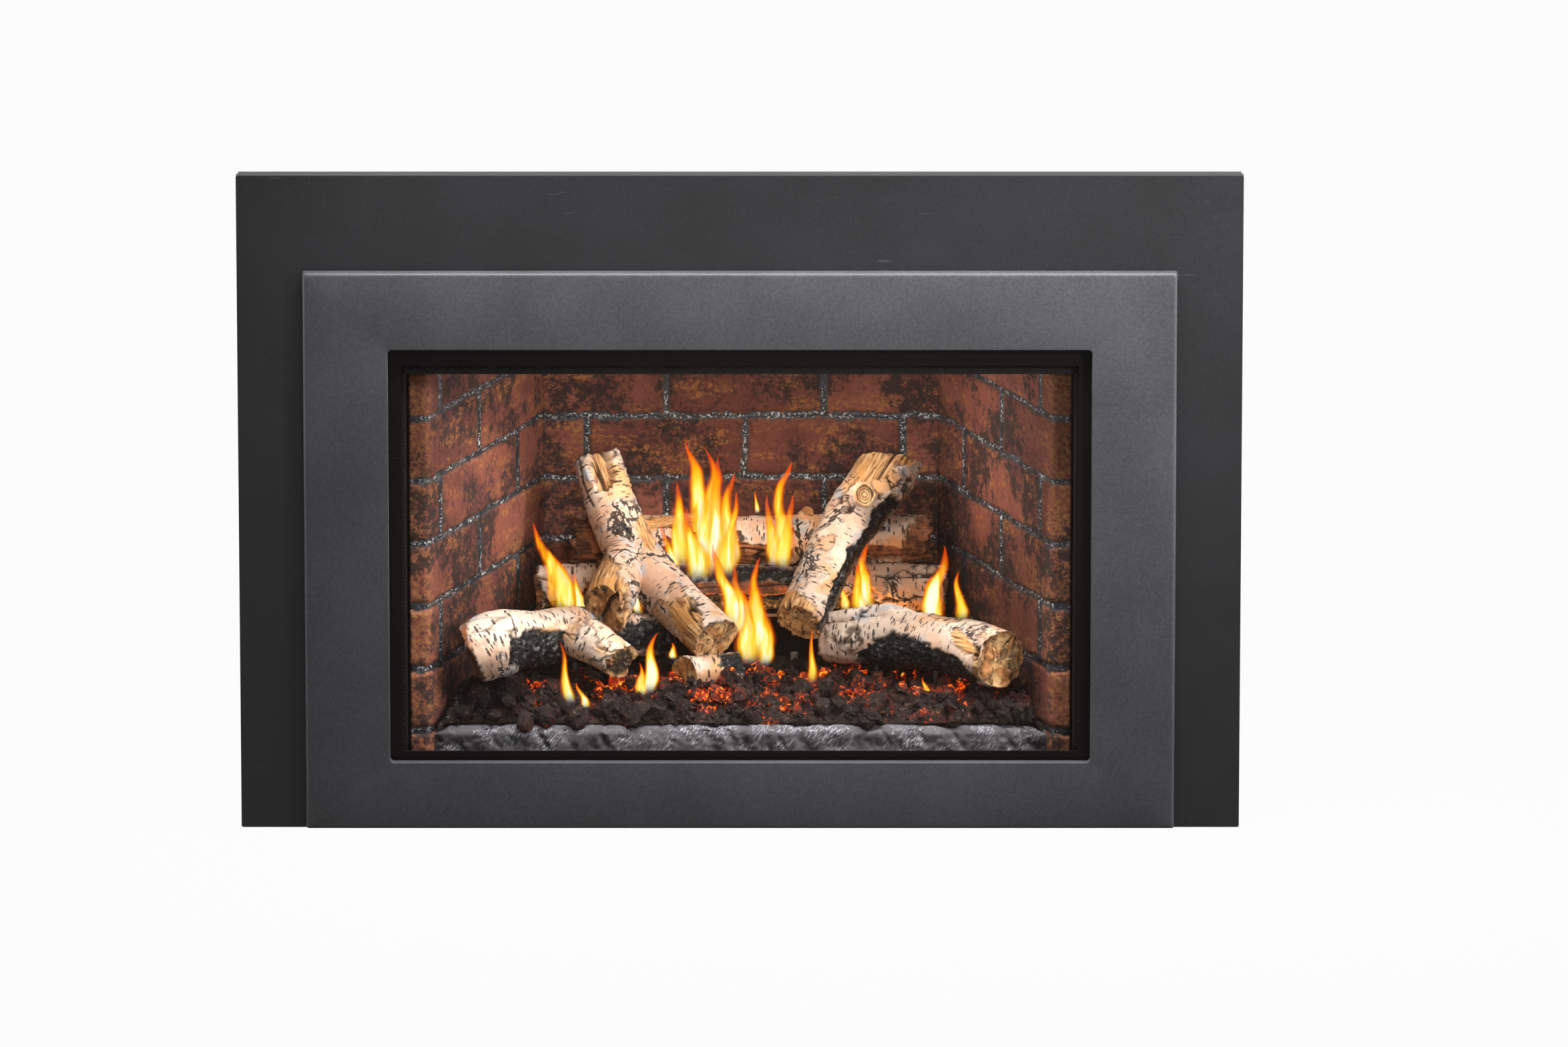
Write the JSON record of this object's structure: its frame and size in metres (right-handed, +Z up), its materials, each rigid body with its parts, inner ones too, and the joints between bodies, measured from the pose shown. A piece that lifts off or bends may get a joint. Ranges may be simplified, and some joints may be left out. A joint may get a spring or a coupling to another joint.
{
  "type": "gas fireplace insert",
  "caption": "Gas fireplace insert with a flat surround, a pull-off face frame, a latched window, a brick-lined firebox with a birch log set, and a lower bay with the gas controls and blower.",
  "frame": {"origin": "middle of the hearth line under the insert: x is the middle of the surround, y is halfway between the face frame's front and the rear panel's screws, z is the hearth", "axes": "+X to the right as seen from the room, +Y into the chimney, away from the room, +Z up"},
  "size_m": [1.016, 0.425, 0.678],
  "materials": {
    "surround_black": "satin powder coat",
    "face_grey": "fine-textured satin powder coat",
    "flange_black": "heat-proof matt paint",
    "casing_zinc": "galvanised sheet",
    "frame_bronze": "heat-proof satin paint",
    "ceramic_glass": "clear polished",
    "gasket_fibre": "woven glass fibre",
    "spring_steel": "plain rolled",
    "fire_brick": "moulded fibre board with brick relief",
    "flap_steel": "plain rolled, heat stained",
    "burner_steel": "heat-darkened steel",
    "gas_brass": "turned",
    "probe_ceramic": "white insulator",
    "ember_ceramic": "rough lumps",
    "ember_rail_ceramic": "rough cast",
    "birch_ceramic": "moulded fibre log with bark relief",
    "collar_aluminium": "spun",
    "valve_aluminium": "die cast",
    "spindle_steel": "turned, zinc plated",
    "knob_plastic": "fine grain",
    "body_plastic": "moulded",
    "igniter_red": "moulded",
    "handle_yellow": "dipped",
    "pipe_black": "black pipe",
    "blower_grey": "grey enamel"
  },
  "bodies": {
    "root": {"surround_panel": "surround_black", "panel_screws": "surround_black", "casing_flange": "flange_black", "firebox_frame": "flange_black", "firebox_shell": "flange_black", "baffle_plate": "flange_black", "casing_base": "casing_zinc", "casing_left": "casing_zinc", "casing_right": "casing_zinc", "casing_rear": "casing_zinc", "casing_top": "casing_zinc", "junction_box": "casing_zinc", "control_panel": "casing_zinc", "glass_frame": "frame_bronze", "glass_pane": "ceramic_glass", "glass_gasket": "gasket_fibre", "glass_clips": "spring_steel", "brick_clips": "spring_steel", "brick_panel_rear": "fire_brick", "brick_panel_left": "fire_brick", "brick_panel_right": "fire_brick", "burner_pan": "burner_steel", "log_grate": "burner_steel", "pilot_bracket": "burner_steel", "gas_manifold": "gas_brass", "shutoff_valve": "gas_brass", "pilot_probes": "probe_ceramic", "ember_bed": "ember_ceramic", "ember_front_strip": "ember_rail_ceramic", "left_front_log": "birch_ceramic", "left_forked_log": "birch_ceramic", "right_leaning_log": "birch_ceramic", "right_front_log": "birch_ceramic", "small_front_log": "birch_ceramic", "rear_upper_log": "birch_ceramic", "rear_lower_log": "birch_ceramic", "exhaust_collar": "collar_aluminium", "intake_collar": "collar_aluminium", "gas_valve": "valve_aluminium", "control_bodies": "body_plastic", "gas_pipes": "pipe_black", "blower_housing": "blower_grey", "blower_motor": "blower_grey"},
    "face": {"face_frame": "face_grey"},
    "latch_left": {"glass_latch_left": "spring_steel"},
    "latch_right": {"glass_latch_right": "spring_steel"},
    "flap_left": {"relief_flap_left": "flap_steel"},
    "flap_right": {"relief_flap_right": "flap_steel"},
    "restrictor": {"restrictor_plate": "flap_steel"},
    "spindle": {"valve_spindle": "spindle_steel"},
    "pilot_control": {"pilot_knob": "knob_plastic"},
    "flame_control": {"flame_knob": "knob_plastic"},
    "igniter": {"igniter_button": "igniter_red"},
    "rocker": {"burner_switch": "knob_plastic"},
    "blower_control": {"blower_knob": "knob_plastic"},
    "shutoff": {"shutoff_handle": "handle_yellow"},
    "wheel": {"blower_wheel": "body_plastic"},
    "shutter": {"air_shutter": "gas_brass"},
    "bolt_left": {"levelling_bolt_left": "spindle_steel"},
    "bolt_right": {"levelling_bolt_right": "spindle_steel"}
  },
  "joints": [
    {"name": "face_pull_off", "type": "slide", "parent": "root", "child": "face", "axis": [0, -1, 0], "range_m": [0, 0.15]},
    {"name": "latch_left_turn", "type": "hinge", "parent": "root", "child": "latch_left", "pos_m": [-0.25, -0.2048, 0.051], "axis": [0, 1, 0], "range_deg": [0, 90]},
    {"name": "latch_right_turn", "type": "hinge", "parent": "root", "child": "latch_right", "pos_m": [0.25, -0.2048, 0.051], "axis": [0, -1, 0], "range_deg": [0, 90]},
    {"name": "flap_left_lift", "type": "hinge", "parent": "root", "child": "flap_left", "pos_m": [-0.215, -0.0305, 0.4888], "axis": [-1, 0, 0], "range_deg": [0, 40]},
    {"name": "flap_right_lift", "type": "hinge", "parent": "root", "child": "flap_right", "pos_m": [0.215, -0.0305, 0.4888], "axis": [-1, 0, 0], "range_deg": [0, 40]},
    {"name": "restrictor_slide", "type": "slide", "parent": "root", "child": "restrictor", "axis": [-1, 0, 0], "range_m": [0, 0.04]},
    {"name": "pilot_push", "type": "slide", "parent": "root", "child": "spindle", "axis": [0, 1, 0], "range_m": [0, 0.003], "stiffness_N_per_m": 800},
    {"name": "pilot_turn", "type": "hinge", "parent": "spindle", "child": "pilot_control", "pos_m": [-0.206, -0.186, 0.032], "axis": [0, 1, 0], "range_deg": [0, 180]},
    {"name": "flame_turn", "type": "hinge", "parent": "root", "child": "flame_control", "pos_m": [-0.17, -0.186, 0.032], "axis": [0, 1, 0], "range_deg": [0, 270]},
    {"name": "igniter_push", "type": "slide", "parent": "root", "child": "igniter", "axis": [0, 1, 0], "range_m": [0, 0.005], "stiffness_N_per_m": 400},
    {"name": "burner_switch_rock", "type": "hinge", "parent": "root", "child": "rocker", "pos_m": [0.165, -0.1615, 0.032], "axis": [1, 0, 0], "range_deg": [0, 16]},
    {"name": "blower_speed_turn", "type": "hinge", "parent": "root", "child": "blower_control", "pos_m": [0.245, -0.176, 0.032], "axis": [0, 1, 0], "range_deg": [0, 270]},
    {"name": "shutoff_turn", "type": "hinge", "parent": "root", "child": "shutoff", "pos_m": [-0.31, -0.14, 0.049], "axis": [0, 0, -1], "range_deg": [0, 90]},
    {"name": "wheel_spin", "type": "hinge", "parent": "root", "child": "wheel", "pos_m": [0, 0.1595, 0.031], "axis": [1, 0, 0], "continuous": true},
    {"name": "shutter_turn", "type": "hinge", "parent": "root", "child": "shutter", "pos_m": [-0.06, -0.0625, 0.043], "axis": [0, 0, 1], "range_deg": [0, 60]},
    {"name": "level_left", "type": "slide", "parent": "root", "child": "bolt_left", "axis": [0, 0, -1], "range_m": [0, 0.025]},
    {"name": "level_right", "type": "slide", "parent": "root", "child": "bolt_right", "axis": [0, 0, -1], "range_m": [0, 0.025]}
  ]
}
